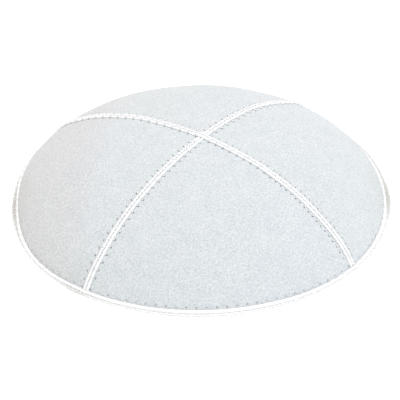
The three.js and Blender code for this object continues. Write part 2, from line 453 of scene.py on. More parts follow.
def brushed_suede(name, colour, settings):
    """Split hide, buffed until its fibres stand up. It is matt, and its tufts lie every way, which
    gives the eye a fine cloudy grain and a faint bloom at glancing angles."""
    material, tree = new_material(name)
    place = add_node(tree, "ShaderNodeTexCoord").outputs["Object"]
    # Tufts are about a third of a millimetre, drawn coarser so that they show in a render
    tufts = add_node(tree, "ShaderNodeTexNoise", {}, {
        "Vector": place, "Scale": 1 / settings.tuft_size, "Detail": 3.0, "Roughness": 0.65,
    })
    clouds = add_node(tree, "ShaderNodeTexNoise", {}, {
        "Vector": place, "Scale": 1 / (9 * settings.tuft_size), "Detail": 2.0, "Roughness": 0.5,
    })
    tuft_shade = add_node(tree, "ShaderNodeMapRange", {}, {
        "Value": tufts, "From Min": 0.33, "From Max": 0.67,
    })
    tone = add_node(tree, "ShaderNodeMix", {"data_type": "RGBA"}, {
        "Factor": tuft_shade, "A": shade(colour, 0.83), "B": shade(colour, 1.13),
    })
    cloud_shade = add_node(tree, "ShaderNodeMapRange", {}, {
        "Value": clouds, "From Min": 0.3, "From Max": 0.7, "To Min": 0.0, "To Max": 0.5,
    })
    clouded = add_node(tree, "ShaderNodeMix", {"data_type": "RGBA", "blend_type": "MULTIPLY"}, {
        "Factor": cloud_shade, "A": tone, "B": shade(linear("#F4F6F7")),
    })
    # Here and there a pore of the hide shows as a small dark speck
    pores = add_node(tree, "ShaderNodeTexVoronoi", {}, {
        "Vector": place, "Scale": 1 / settings.pore_spacing,
    })
    pore_random = add_node(tree, "ShaderNodeSeparateColor", {}, {"Color": pores.outputs["Color"]})
    pore_size = add_node(tree, "ShaderNodeMapRange", {}, {
        "Value": pore_random.outputs["Red"], "From Min": 0.45, "From Max": 1.0,
        "To Min": 0.0, "To Max": 0.08,
    })
    pore_depth = add_node(tree, "ShaderNodeMath", {"operation": "SUBTRACT"}, {0: pore_size, 1: pores})
    pore_shade = add_node(tree, "ShaderNodeMapRange", {}, {
        "Value": pore_depth, "From Min": -0.02, "From Max": 0.03, "To Min": 0.0, "To Max": 0.3,
    })
    # Painted shadow darkens the suede along the braids' edges, and the needle crushes it, with
    # painted shade in each hole
    gap = add_node(tree, "ShaderNodeAttribute", {"attribute_name": "braid_gap"})
    away = add_node(tree, "ShaderNodeMath", {"operation": "ABSOLUTE"}, {0: gap.outputs["Fac"]})
    crease = add_node(tree, "ShaderNodeMapRange", {"interpolation_type": "SMOOTHSTEP"}, {
        "Value": away, "From Min": 0.0, "From Max": 0.5 * MM, "To Min": 1.0, "To Max": 0.0,
    })
    creasing = add_node(tree, "ShaderNodeAttribute", {"attribute_name": "creasing"})
    braid_edge_shaded = add_node(tree, "ShaderNodeMath", {"operation": "MULTIPLY"}, {
        0: crease, 1: creasing.outputs["Fac"],
    })
    pressed = add_node(tree, "ShaderNodeAttribute", {"attribute_name": "pressed"})
    darkest = braid_edge_shaded
    for other in (pressed.outputs["Fac"], pore_shade):
        darkest = add_node(tree, "ShaderNodeMath", {"operation": "MAXIMUM"}, {0: darkest, 1: other})
    # Painted shade darkens the suede near the rim at the two sides, and the left side is tinted
    # warmer and a little darker
    aged = clouded
    for attribute, tint in (("handled", "#F4F4F1"), ("yellowed", "#FEFAF9")):
        part = add_node(tree, "ShaderNodeAttribute", {"attribute_name": attribute})
        aged = add_node(tree, "ShaderNodeMix", {"data_type": "RGBA", "blend_type": "MULTIPLY"}, {
            "Factor": part.outputs["Fac"], "A": aged, "B": shade(linear(tint)),
        })
    coloured = add_node(tree, "ShaderNodeMix", {"data_type": "RGBA"}, {
        "Factor": darkest, "A": aged, "B": shade(colour, 0.5),
    })
    bump = add_node(tree, "ShaderNodeBump", {}, {
        "Height": tufts, "Distance": settings.nap_height, "Strength": 0.8,
    })
    shader = add_node(tree, "ShaderNodeBsdfPrincipled", {}, {
        "Base Color": coloured, "Normal": bump,
        "Roughness": 0.95, "Specular IOR Level": 0.2, "Sheen Weight": 0.06, "Sheen Roughness": 0.6,
    })
    add_node(tree, "ShaderNodeOutputMaterial", {}, {"Surface": shader})
    return material


def woven_braid(name, settings):
    """Flat braid of bleached cotton, plaited over two cords. The yarns slant from both edges to
    the middle, so it shows a fine herringbone, and it is bright and matt."""
    material, tree = new_material(name)
    place = add_node(tree, "ShaderNodeTexCoord").outputs["Object"]
    woven = add_node(tree, "ShaderNodeUVMap", {"uv_map": "braid"})
    split = add_node(tree, "ShaderNodeSeparateXYZ", {}, {"Vector": woven})
    side = add_node(tree, "ShaderNodeMath", {"operation": "ABSOLUTE"}, {0: split.outputs["Y"]})
    # The UV map counts yarns along the braid, and half widths across it
    slant = add_node(tree, "ShaderNodeMath", {"operation": "MULTIPLY_ADD"}, {
        0: side, 1: YARN_SLANT, 2: split.outputs["X"],
    })
    turn = add_node(tree, "ShaderNodeMath", {"operation": "MULTIPLY"}, {0: slant, 1: FULL_TURN})
    yarns = add_node(tree, "ShaderNodeMath", {"operation": "SINE"}, {0: turn})
    fibres = add_node(tree, "ShaderNodeTexNoise", {}, {
        "Vector": place, "Scale": 1 / (0.25 * MM), "Detail": 2.0,
    })
    relief = add_node(tree, "ShaderNodeMath", {"operation": "MULTIPLY_ADD"}, {
        0: fibres, 1: 0.7, 2: yarns,
    })
    bump = add_node(tree, "ShaderNodeBump", {}, {
        "Height": relief, "Distance": 0.03 * MM, "Strength": 0.7,
    })
    uneven = add_node(tree, "ShaderNodeTexNoise", {}, {
        "Vector": place, "Scale": 1 / (1.8 * MM), "Detail": 1.0,
    })
    # Painted shade darkens the braid in its groove, whose edge wanders along it, and a little between
    # its yarns
    groove_edge = add_node(tree, "ShaderNodeMapRange", {}, {
        "Value": uneven, "From Min": 0.3, "From Max": 0.7, "To Min": 0.16, "To Max": 0.42,
    })
    groove = add_node(tree, "ShaderNodeMapRange", {"interpolation_type": "SMOOTHSTEP"}, {
        "Value": side, "From Min": 0.05, "From Max": groove_edge,
    })
    between = add_node(tree, "ShaderNodeMapRange", {}, {
        "Value": yarns, "From Min": -1.0, "From Max": -0.2, "To Min": 0.0, "To Max": 1.0,
    })
    yarn_shaded_tone = add_node(tree, "ShaderNodeMix", {"data_type": "RGBA"}, {
        "Factor": between, "A": shade(settings.colour, 0.95), "B": shade(settings.colour),
    })
    tone = add_node(tree, "ShaderNodeMix", {"data_type": "RGBA"}, {
        "Factor": groove, "A": shade(settings.groove_shade_colour), "B": yarn_shaded_tone,
    })
    # Painted shade on the binding's foot at the sides
    soiled = add_node(tree, "ShaderNodeAttribute", {"attribute_name": "soiled"})
    foot_shaded = add_node(tree, "ShaderNodeMix", {"data_type": "RGBA"}, {
        "Factor": soiled.outputs["Fac"], "A": tone, "B": shade(settings.foot_shade_colour),
    })
    shader = add_node(tree, "ShaderNodeBsdfPrincipled", {}, {
        "Base Color": foot_shaded, "Normal": bump,
        "Roughness": 0.85, "Specular IOR Level": 0.3, "Sheen Weight": 0.15, "Sheen Roughness": 0.5,
    })
    add_node(tree, "ShaderNodeOutputMaterial", {}, {"Surface": shader})
    return material


def spun_thread(name, settings):
    """Spun polyester sewing thread, bleached white. It is a little smoother than the braid."""
    material, tree = new_material(name)
    place = add_node(tree, "ShaderNodeTexCoord").outputs["Object"]
    fibres = add_node(tree, "ShaderNodeTexNoise", {}, {
        "Vector": place, "Scale": 1 / (0.12 * MM), "Detail": 2.0,
    })
    tone = add_node(tree, "ShaderNodeMix", {"data_type": "RGBA"}, {
        "Factor": fibres, "A": shade(settings.colour, 0.94), "B": shade(settings.colour),
    })
    bump = add_node(tree, "ShaderNodeBump", {}, {
        "Height": fibres, "Distance": 0.02 * MM, "Strength": 0.5,
    })
    shader = add_node(tree, "ShaderNodeBsdfPrincipled", {}, {
        "Base Color": tone, "Normal": bump,
        "Roughness": 0.6, "Specular IOR Level": 0.4, "Sheen Weight": 0.1,
    })
    add_node(tree, "ShaderNodeOutputMaterial", {}, {"Surface": shader})
    return material


def pierced_hide(name, settings):
    """Inside of a needle hole: crushed fibres, with painted shade that darkens it with depth, as
    hardly any light gets in.
    """
    material, tree = new_material(name)
    depth = add_node(tree, "ShaderNodeAttribute", {"attribute_name": "depth"})
    tone = add_node(tree, "ShaderNodeMix", {"data_type": "RGBA"}, {
        "Factor": depth.outputs["Fac"],
        "A": shade(settings.hole_rim_colour), "B": shade(settings.hole_shade_colour),
    })
    shader = add_node(tree, "ShaderNodeBsdfPrincipled", {}, {
        "Base Color": tone, "Roughness": 1.0, "Specular IOR Level": 0.1,
    })
    add_node(tree, "ShaderNodeOutputMaterial", {}, {"Surface": shader})
    return material


def white_sweep(name, settings):
    """Matt white studio paper, lit a little from behind so that it stays white under the cap."""
    material, tree = new_material(name)
    place = add_node(tree, "ShaderNodeTexCoord").outputs["Object"]
    grain = add_node(tree, "ShaderNodeTexNoise", {}, {"Vector": place, "Scale": 900.0})
    tone = add_node(tree, "ShaderNodeMix", {"data_type": "RGBA"}, {
        "Factor": grain, "A": shade(settings.floor_colour, 0.99), "B": shade(settings.floor_colour),
    })
    shader = add_node(tree, "ShaderNodeBsdfPrincipled", {}, {
        "Base Color": tone, "Roughness": 1.0, "Specular IOR Level": 0.0,
        "Emission Color": (1.0, 1.0, 1.0, 1.0), "Emission Strength": settings.floor_glow,
    })
    add_node(tree, "ShaderNodeOutputMaterial", {}, {"Surface": shader})
    return material


# Suede gores

# Rings of mesh points round a needle mark: radius in mm, and how many points
HOLE_RINGS = [(0.12, 6), (0.24, 8), (0.34, 10), (0.5, 12), (0.8, 12), (1.2, 14)]
RING_CLEARANCE = 0.25  # mm from the last ring to the plain grid
GRID_MARGIN = 0.8  # mm from the gore's edge to the plain grid
SEAM_NARROWING = 0.93  # true distance from a seam as a share of that on the flat pattern

# Relief of the suede: a pierced hole and the pull round it at each needle mark, a valley under
# the braids, and a puff beside them and above the binding
HOLE_FLOOR = 0.1 * MM
HOLE_LIP = 0.36 * MM
HOLE_DEPTH = 0.75 * MM
PULL_REACH = 1.3 * MM
VALLEY_FLOOR = 1.6 * MM
VALLEY_LIP = 4.2 * MM
VALLEY_DEPTH = 0.12 * MM
SEAM_PUFF = 4.6 * MM
RIM_PUFF = 5.5 * MM
PUFF_WIDTH = 1.8 * MM
PUFF_HEIGHT = 0.07 * MM
INNER_HOLE_RISE = 0.3 * MM
INNER_PULL_RISE = 0.1 * MM

# Where the suede's look changes: painted shadow beside the long braid's near edge on the front gore,
# stronger in a slow cycle along it;
# a warmer, slightly darker tint towards the left; and painted shade down near the rim where the
# binding is splayed
LONG_EDGE_REACH = (1 * MM, 3 * MM)
EDGE_SHADOW_START = 11 * MM
EDGE_SHADOW_CYCLE = 33 * MM
WARMER_LEFT_REACH = (38 * MM, 56 * MM)
FOOT_SHADE_START = 72 * MM


def turned(flat, angle):
    """Flat points turned round the top."""
    c, s = math.cos(angle), math.sin(angle)
    return flat @ np.array([[c, s], [-s, c]])


def gore_outline(middle):
    """Flat points round the edge of a gore, in millimetres."""
    along = np.linspace(TIP_RADIUS, RAY_END - 0.2 * MM, 96)
    inset = np.full_like(along, SEAM_GAP / 2)
    first = seam_flat(middle - QUARTER_TURN / 2, along, inset)
    last = seam_flat(middle + QUARTER_TURN / 2, along, -inset)[::-1]
    start = math.atan2(first[-1][1], first[-1][0])
    span = (math.atan2(last[0][1], last[0][0]) - start) % FULL_TURN
    hem = polar(RAY_END, start + np.linspace(0, 1, 111) * span)
    return np.concatenate([first, hem, last]) / MM


def gore_grid(middle, marks, spacing):
    """Flat points inside a gore, in millimetres, closer together round its needle marks."""
    rows = np.arange(0, RAY_END / MM, spacing * math.sqrt(3) / 2)
    columns = np.arange(-RAY_END / MM, RAY_END / MM, spacing)
    x, y = np.meshgrid(rows, columns, indexing="ij")
    y = y + (np.arange(len(rows)) % 2)[:, None] * spacing / 2
    local = np.stack([x.ravel(), y.ravel()], axis=-1)
    to_seam = (local[:, 0] - np.abs(local[:, 1])) * math.sqrt(0.5)
    inside = (to_seam > GRID_MARGIN) & (from_top(local) < RAY_END / MM - GRID_MARGIN)
    grid = turned(local[inside], middle)
    grid = grid[nearest_distance(grid, marks) > HOLE_RINGS[-1][0] + RING_CLEARANCE]
    rings = [marks]
    for radius, count in HOLE_RINGS:
        ring = polar(radius, np.arange(count) * FULL_TURN / count)
        rings.append((marks[:, None, :] + ring[None]).reshape(-1, 2))
    return np.concatenate([grid, *rings])


def nearest_distance(points, marks):
    """Distance from each point to the nearest mark, a few thousand points at a time."""
    found = [
        np.min(np.linalg.norm(part[:, None, :] - marks[None], axis=-1), axis=1)
        for part in np.array_split(points, max(1, len(points) // 2000))
    ]
    return np.concatenate(found)


def near_gore(marks, middle):
    """The marks, in millimetres, that lie in a gore."""
    local = turned(marks, -middle)
    return marks[local[:, 0] > np.abs(local[:, 1])]


def seam_distance(flat):
    """True distance from flat points to the nearest seam."""
    x, y = flat[..., 0], flat[..., 1]
    on_pattern = np.minimum(np.abs(x - y), np.abs(x + y)) * math.sqrt(0.5)
    return on_pattern * SEAM_NARROWING


def filled(points, outline_count):
    """Flat points and upward triangles that fill an outline. Points are in millimetres."""
    flat_points, _, triangles, *_ = delaunay_2d_cdt(
        [Vector(p) for p in points.tolist()], [], [list(range(outline_count))], 1, 0.001, False
    )
    flat = np.array([tuple(p) for p in flat_points]) * MM
    triangles = np.array(triangles)
    a, b, c = (flat[triangles[:, i]] for i in range(3))
    downward = np.cross(b - a, c - a) < 0
    triangles[downward] = triangles[downward][:, ::-1]
    return flat, triangles


def shell_faces(triangles, count):
    """Faces of a closed shell: the outer ones, the inner ones, and walls round the edge."""
    edges = np.concatenate([triangles[:, [0, 1]], triangles[:, [1, 2]], triangles[:, [2, 0]]])
    known = {tuple(edge) for edge in edges.tolist()}
    walls = [(j, i, i + count, j + count) for i, j in edges.tolist() if (j, i) not in known]
    return triangles.tolist() + (triangles[:, ::-1] + count).tolist() + walls


def creasing(flat, side):
    """How much painted shadow darkens the suede along the braids' edges."""
    amount = 0.1
    if side == "front":
        near_long = 1 - smooth_step(flat[:, 1] + flat[:, 0], *LONG_EDGE_REACH)
        cycles = (from_top(flat) - EDGE_SHADOW_START) / EDGE_SHADOW_CYCLE
        edge_shadow_cycle = near_long * (flat[:, 0] > 0) * (0.6 + 0.4 * np.cos(FULL_TURN * cycles))
        amount = 0.12 + 0.22 * edge_shadow_cycle
    return np.where(closed_share(flat) > 0, 0, amount)


def yellowed(flat):
    """How far the suede is tinted warmer and a little darker towards the left."""
    to_left = 0.4 * flat[:, 1] - flat[:, 0]
    return smooth_step(to_left, *WARMER_LEFT_REACH) * (flat[:, 1] > flat[:, 0])


def suede_gore(side, middle, marks, material, settings):
    """One gore: two faces of suede with pierced, slightly pulled-in stitch marks."""
    own = near_gore(marks / MM, middle)
    outline = gore_outline(middle)
    points = np.concatenate([outline, gore_grid(middle, own, settings.mesh_spacing / MM)])
    flat, triangles = filled(points, len(outline))

    to_mark = nearest_distance(flat, own * MM)
    to_seam = seam_distance(flat)
    to_rim = RAY_END - from_top(flat)
    open_share = 1 - closed_share(flat)
    hole = 1 - smooth_step(to_mark / open_share, HOLE_FLOOR, HOLE_LIP)
    pull = (1 - np.clip(to_mark / PULL_REACH, 0, 1)) ** 2
    valley = 1 - smooth_step(to_seam, VALLEY_FLOOR, VALLEY_LIP)
    puff = np.exp(-((to_seam - SEAM_PUFF) / PUFF_WIDTH) ** 2)
    puff = puff + np.exp(-((to_rim - RIM_PUFF) / PUFF_WIDTH) ** 2)
    sunk = HOLE_DEPTH * hole * open_share + settings.stitch_pull * pull + VALLEY_DEPTH * valley
    outer = over_suede(flat, PUFF_HEIGHT * puff - sunk)
    inner_height = suede_waves(flat) + INNER_HOLE_RISE * hole + INNER_PULL_RISE * pull
    inner = lay(flat, -SUEDE_THICKNESS) + outward(flat) * inner_height[:, None]

    faces = shell_faces(triangles, len(flat))
    piece = new_piece("suede_gore_" + side, np.concatenate([outer, inner]), faces, material,
                      "panel_" + side)
    # Painted shade on the suede down near the rim, at the binding's splayed places
    foot_shade = handled(np.arctan2(flat[:, 1], flat[:, 0]))
    foot_shade = foot_shade * smooth_step(from_top(flat), FOOT_SHADE_START, RAY_END)
    looks = {
        # crushed fibres, with painted shade in the needle holes and their pulled dimples
        "pressed": [(0.9 * hole + 0.12 * pull) * open_share, 0.6 * hole],
        "braid_gap": [to_seam - BRAID_HALF_WIDTH] * 2,
        # painted shadow along the braids' edges, on the outer face only
        "creasing": [creasing(flat, side), np.zeros(len(flat))],
        "yellowed": [yellowed(flat)] * 2,
        "handled": [foot_shade] * 2,
    }
    for name, outer_and_inner in looks.items():
        store(piece.data, name, np.concatenate(outer_and_inner))
    return piece


# Seam braids

# Upper face of the braid: across in half widths, height in braid heights
BRAID_SECTION = [
    (-0.99, -0.08), (-1.0, 0.14), (-0.97, 0.36), (-0.9, 0.6), (-0.79, 0.82), (-0.66, 0.95),
    (-0.52, 1.0), (-0.38, 0.94), (-0.26, 0.78), (-0.17, 0.58), (-0.09, 0.38),
    (0.0, 0.3),
    (0.09, 0.38), (0.17, 0.58), (0.26, 0.78), (0.38, 0.94), (0.52, 1.0), (0.66, 0.95),
    (0.79, 0.82), (0.9, 0.6), (0.97, 0.36), (1.0, 0.14), (0.99, -0.08),
]
BRAID_END = RAY_END - 0.1 * MM  # tucked under the binding


def hump(along, across):
    """How far the long braid is lifted where it lies over the short ones. Beside them its edges
    droop to the suede. Across is in half widths, as in the section."""
    lift = HUMP_LIFT * (1 - smooth_step(np.abs(along), HUMP_FLAT, HUMP_FLAT + HUMP_RAMP))
    droop = smooth_step(np.abs(along), HUMP_FLAT - 0.2 * MM, HUMP_FLAT + 0.8 * MM)
    return lift * (1 - droop * smooth_step(np.abs(across), 0.35, 1.05))


def level(along, across):
    """No lift at all."""
    return np.zeros(np.broadcast_shapes(along.shape, across.shape))


def seam_braid(place, azimuth, start, shape, material, settings):
    """A braid along a seam. Shape gives how it is lifted, and its width and height factors."""
    along = np.arange(start, BRAID_END, settings.mesh_step)
    lift, width, flatness = shape(azimuth, along)
    sides, heights = np.array(BRAID_SECTION).T[:, None]
    yarns = along[:, None] / settings.yarn_pitch
    yarn = np.sin(FULL_TURN * (yarns + YARN_SLANT * np.abs(sides)))
    relief = settings.yarn_relief * yarn * np.clip(heights, 0, 1)
    raised = lift(along[:, None], sides)
    height = heights * BRAID_HEIGHT * flatness[:, None] + relief + raised
    across = sides * BRAID_HALF_WIDTH * width[:, None]
    # The last two points of a ring are its underside, just within the suede
    height = np.concatenate([height, raised[:, [-1, 0]] - 0.1 * MM], axis=1)
    across = np.concatenate([across, across[:, [-1, 0]] * 0.9], axis=1)

    middle = seam_flat(azimuth, along, np.zeros_like(along))
    base = over_suede(middle, np.zeros_like(along))
    ahead = np.gradient(base, axis=0)
    ahead /= np.linalg.norm(ahead, axis=-1, keepdims=True)
    up = outward(middle)
    side = np.cross(up, ahead)
    rings = base[:, None] + side[:, None] * across[..., None] + up[:, None] * height[..., None]
    faces = swept_faces(len(along), rings.shape[1], False)
    piece = new_piece("seam_braid_" + place, rings.reshape(-1, 3), faces, material,
                      "seam_tape_" + place)
    uv = np.stack(np.broadcast_arrays(yarns, np.append(sides, [1.0, -1.0])), axis=-1)
    store_uv(piece.data, "braid", uv.reshape(-1, 2))
    return piece


def under_binding(azimuth, along):
    """Height factor of a braid, which is pressed flat where the binding holds it."""
    ends = np.where(along < 0, azimuth + math.pi, azimuth)
    edge = RAY_END - (binding_top(ends) - CUT_EDGE_HEIGHT)
    return 1 - 0.5 * smooth_step(np.abs(along), edge - 0.5 * MM, edge + 0.3 * MM)


def long_braid_shape(azimuth, along):
    """The long braid climbs over the short ones at the top."""
    return hump, np.ones_like(along), under_binding(azimuth, along)


def short_braid_shape(azimuth, along):
    """A short braid is pressed flat, and so spreads, where it goes under the long one."""
    pressed = 1 - smooth_step(along, 1.3 * MM, 3.4 * MM)
    flatness = under_binding(azimuth, along) * (1 - 0.3 * pressed)
    return level, 1 + 0.16 * pressed, flatness


# Each seam braid: its place, azimuth, where it starts from the top, and shape
SEAM_BRAIDS = [
    ("long", LONG_SEAM, -BRAID_END, long_braid_shape),
    ("front_left", FRONT_LEFT_SEAM, TIP_RADIUS, short_braid_shape),
    ("back_right", BACK_RIGHT_SEAM, TIP_RADIUS, short_braid_shape),
]


# Rim binding

# Section of the folded braid: height over the floor and how far outside the suede, in mm, and
# how far the point is from a groove, as a share of a cord's half width
BINDING_SECTION = [
    (0.0, 0.6, 1), (0.02, 0.95, 1), (0.16, 1.2, 0.7), (0.36, 1.28, 0.35), (0.56, 1.22, 0),
    (0.76, 1.31, 0.35), (0.98, 1.36, 0.8), (1.2, 1.32, 0.5), (1.4, 1.18, 0.2), (1.52, 1.08, 0),
    (1.64, 1.16, -0.2), (1.8, 1.26, -0.5), (2.0, 1.27, -0.9), (2.2, 1.15, -0.9),
    (2.37, 0.92, -0.8), (2.48, 0.6, -0.9), (2.5, 0.28, -1), (2.4, 0.07, -1),
    (1.9, 0.05, -1), (1.35, 0.05, -1), (1.1, 0.0, -1), (1.1, -1.2, -1), (1.35, -1.25, -1),
    (1.9, -1.25, -1), (2.4, -1.27, -1), (2.5, -1.5, -1), (2.48, -1.8, -0.9),
    (2.37, -2.12, -0.8), (2.2, -2.35, -0.9), (2.0, -2.47, -0.9), (1.8, -2.46, -0.5),
    (1.64, -2.36, -0.2), (1.52, -2.28, 0), (1.4, -2.38, 0.2), (1.2, -2.5, 0.5),
    (0.9, -2.5, 0.8), (0.5, -2.44, 0.4), (0.2, -2.3, 0.8), (0.02, -2.05, 1), (0.0, -1.7, 1),
]
BINDING_GROOVE = 1.52 * MM
BINDING_SECTION_TOP = 2.5 * MM
BINDING_BULGE = 0.4 * MM

# The foot of the binding spreads by hand-pressed amounts: azimuth and spread in mm
BINDING_SPREADS = [
    (0, 0.25), (30, 0.3), (90, 0), (150, 0), (200, 0.1), (222, 0.4), (245, 0.35), (270, 0.3),
    (300, 0.2), (330, 0.35), (360, 0.25),
]

# Places where the binding's foot is splayed, and painted shade darkens it and the suede above it, at
# the two sides and by the front-left braid's end:
# azimuth, reach in degrees, and amount
SPLAYED_AND_SHADED_PLACES = [(-7, 11, 0.8), (18, 17, 0.65), (173, 14, 0.9), (222, 6, 0.5)]
SPLAY_SPREAD = 1.0 * MM


def handled(azimuth):
    """How much the binding's foot is splayed and shaded at an azimuth, from 0 to 1."""
    amounts = 0
    for middle, reach, amount in SPLAYED_AND_SHADED_PLACES:
        away = wrapped(azimuth - math.radians(middle)) / math.radians(reach)
        amounts = amounts + amount * np.exp(-away ** 2)
    return amounts


def binding_face(azimuth, height, lift):
    """How far outside the suede a point of the binding is, with its bulges and its spread foot.
    Height is as in the section, before it is scaled to the binding's own height."""
    outer_side = smooth_step(lift, -0.2 * MM, 0.05 * MM)
    bulge = BINDING_BULGE * braid_bulge(azimuth) * smooth_step(height, 0.7 * MM, 1.4 * MM)
    spread = around_mean(BINDING_SPREADS, azimuth) * (1 - smooth_step(height, 0.0, 2.1 * MM))
    # Where the foot is splayed, the cord over it is pressed flat
    splay = 1 - smooth_step(height, 0.7 * MM, 1.9 * MM)
    splay = splay - 0.6 * smooth_step(height, 1.2 * MM, 2.0 * MM)
    spread = spread + SPLAY_SPREAD * handled(azimuth) * splay
    return lift + (bulge + spread) * outer_side


def braid_bulge(azimuth):
    """1 where the binding passes over a braid's end, and 0 between."""
    offset = (azimuth % QUARTER_TURN - QUARTER_TURN / 2) * CROWN_RADIUS
    return np.exp(-(offset / (1.5 * MM)) ** 2)


def rim_binding_mesh(material, settings):
    """The braid folded round the cut edge of the suede, all the way round."""
    around = FULL_TURN * RIM_RADIUS
    count = int(around / settings.binding_mesh_step)
    azimuth = np.arange(count)[:, None] * FULL_TURN / count
    heights, lifts, sides = (np.array(BINDING_SECTION) * (MM, MM, 1)).T[:, None]
    yarns = azimuth * round(around / settings.yarn_pitch) / FULL_TURN
    yarn = np.sin(FULL_TURN * (yarns + YARN_SLANT * np.abs(sides)))
    outside = smooth_step(lifts, 0.7 * MM, 1.1 * MM)
    inside = smooth_step(-lifts, 2.0 * MM, 2.3 * MM)
    relief = settings.yarn_relief * yarn * (outside - inside)
    lift = binding_face(azimuth, heights, lifts) + relief
    height = heights * binding_top(azimuth) / BINDING_SECTION_TOP
    points = wall(azimuth + np.zeros_like(lift), height, lift)
    faces = swept_faces(count, len(BINDING_SECTION), True)
    piece = new_piece("rim_binding_braid", points.reshape(-1, 3), faces, material,
                      "rim_binding")
    uv = np.stack(np.broadcast_arrays(yarns, sides), axis=-1)
    store_uv(piece.data, "braid", uv.reshape(-1, 2))
    # Painted shade on the lower outer face of the binding where its foot is splayed, at the sides
    low = 1 - smooth_step(heights, 2.0 * MM, 2.3 * MM)
    low = low * smooth_step(lifts, 0.3 * MM, 0.8 * MM)
    store(piece.data, "soiled", (low * handled(azimuth)).ravel())
    return piece


# Threads and needle holes

# A taut thread bridges the groove along a braid, and the one in the binding's outer face
BRIDGE_REACH = 0.5 * BRAID_HALF_WIDTH
BRIDGE_HEIGHT = 0.88  # in braid heights
RIM_BRIDGE_REACH = 0.45 * MM
RIM_BRIDGE_FACE = 1.22 * MM
OUTER_FACE_ROWS = 16  # rows of the binding's section that go up its outer face

THREAD_SUNK = 0.5 * MM  # how deep in the suede a thread's ends are
HOLE_SUNK = 0.12  # how deep a needle hole's cup sits, as a share of its width
RIM_WIDENING = 1.4  # the stitches pull harder at the rim, and open their holes there
RIM_WIDENED = 3 * MM


def braid_top(across):
    """Height of the braid's upper face over the suede, where a taut thread runs over it."""
    sides, heights = np.array(BRAID_SECTION[len(BRAID_SECTION) // 2:]).T
    top = np.interp(np.abs(across) / BRAID_HALF_WIDTH, sides, heights)
    bridged = np.where(np.abs(across) < BRIDGE_REACH, np.maximum(top, BRIDGE_HEIGHT), top)
    return bridged * BRAID_HEIGHT


def zigzag_legs(along, across, shares):
    """Along and across of points at shares of the way down each leg of a zigzag."""
    marks = np.stack([along, across], axis=-1)[..., None]
    for start, end in zip(marks, marks[1:]):
        yield start + (end - start) * shares


def seam_thread_lines(settings):
    """Lines of points for the zigzag over the braids, one for each leg."""
    radius = settings.diameter / 2
    shares = np.array([0, 0.03, 0.08, 0.13, 0.18, 0.24, 0.32, 0.4, 0.5,
                       0.6, 0.68, 0.76, 0.82, 0.87, 0.92, 0.97, 1])
    lines = []
    for azimuth, along, across, humped in seam_halves(settings):
        across = across - np.sign(across) * THREAD_ENTRY
        for leg_along, leg_across in zigzag_legs(along, across, shares):
            lifted = hump(leg_along, leg_across / BRAID_HALF_WIDTH) if humped else 0
            over_braid = braid_top(leg_across) + lifted + radius
            beside = np.abs(leg_across) > BRAID_HALF_WIDTH + 2 * radius
            height = np.where(beside, radius, over_braid)
            height[[0, -1]] = -THREAD_SUNK
            height[[1, -2]] = 0.3 * radius
            lines.append(over_suede(seam_flat(azimuth, leg_along, leg_across), height))
    return lines


def rim_thread_lines(settings):
    """Lines of points for the zigzag over the binding, one for each leg."""
    radius = settings.diameter / 2
    upper, lower = rim_needle_marks(settings)
    face_heights, face_lifts, _ = np.array(BINDING_SECTION[:OUTER_FACE_ROWS]).T * MM
    shares = np.array([0, 0.03, 0.1, 0.17, 0.24, 0.32, 0.4, 0.5, 0.6, 0.7, 0.8, 0.88, 0.94, 1])
    lines = []
    for i, azimuth in enumerate(upper):
        for low in (lower[i - 1], lower[i]):
            turns = azimuth + wrapped(low - azimuth) * shares
            top = binding_top(turns)
            entry = top + RIM_MARK_GAP - THREAD_ENTRY
            height = entry * (1 - shares) + RIM_LOW_MARK * top * shares
            drawn = height / top * BINDING_SECTION_TOP
            face = np.interp(drawn, face_heights, face_lifts, right=0)
            bridged = np.abs(drawn - BINDING_GROOVE) < RIM_BRIDGE_REACH
            face = np.where(bridged, np.maximum(face, RIM_BRIDGE_FACE), face)
            face = np.where(height < top, binding_face(turns, drawn, face), face)
            lift = face + radius
            lift[0] = -THREAD_SUNK
            lift[1] = 0.3 * radius
            lift[-1] = 0.6 * MM
            lines.append(wall(turns, height, lift))
    return lines


def inner_thread_lines(settings):
    """Lines of points for the bobbin thread on the inner side of the seams."""
    radius = settings.diameter / 2
    shares = np.array([0, 0.06, 0.2, 0.5, 0.8, 0.94, 1])
    height = np.array([0.4 * MM, -0.2 * radius, -radius, -radius, -radius, -0.2 * radius, 0.4 * MM])
    lines = []
    for azimuth, along, across, _ in seam_halves(settings):
        for leg_along, leg_across in zigzag_legs(along, across, shares):
            flat = seam_flat(azimuth, leg_along, leg_across)
            raised = outward(flat) * (height + suede_waves(flat))[:, None]
            lines.append(lay(flat, -SUEDE_THICKNESS) + raised)
    return lines


def baked(name, source, tree, values):
    """Runs a node tree on an object's mesh and returns the result as a plain mesh."""
    holder = bpy.data.objects.new(name + "_source", source)
    bpy.context.scene.collection.objects.link(holder)
    modifier = holder.modifiers.new("nodes", "NODES")
    modifier.node_group = tree
    for item in tree.interface.items_tree:
        if item.item_type == "SOCKET" and item.name in values:
            modifier[item.identifier] = values[item.name]
    holder.update_tag()
    seen = bpy.context.evaluated_depsgraph_get()
    mesh = bpy.data.meshes.new_from_object(holder.evaluated_get(seen), depsgraph=seen)
    mesh.name = name
    holder.modifiers.remove(modifier)
    bpy.data.objects.remove(holder)
    if not mesh.polygons:
        raise RuntimeError(name + " came out of its node tree empty")
    material = mesh.materials[-1]
    mesh.materials.clear()
    mesh.materials.append(material)
    mesh.polygons.foreach_set("material_index", np.zeros(len(mesh.polygons), dtype=np.int32))
    return mesh


def new_tree(name, sockets):
    """A geometry node tree with named inputs."""
    tree = bpy.data.node_groups.new(name, "GeometryNodeTree")
    tree.interface.new_socket("Geometry", in_out="INPUT", socket_type="NodeSocketGeometry")
    for label, kind in sockets:
        tree.interface.new_socket(label, in_out="INPUT", socket_type="NodeSocket" + kind)
    tree.interface.new_socket("Geometry", in_out="OUTPUT", socket_type="NodeSocketGeometry")
    return tree


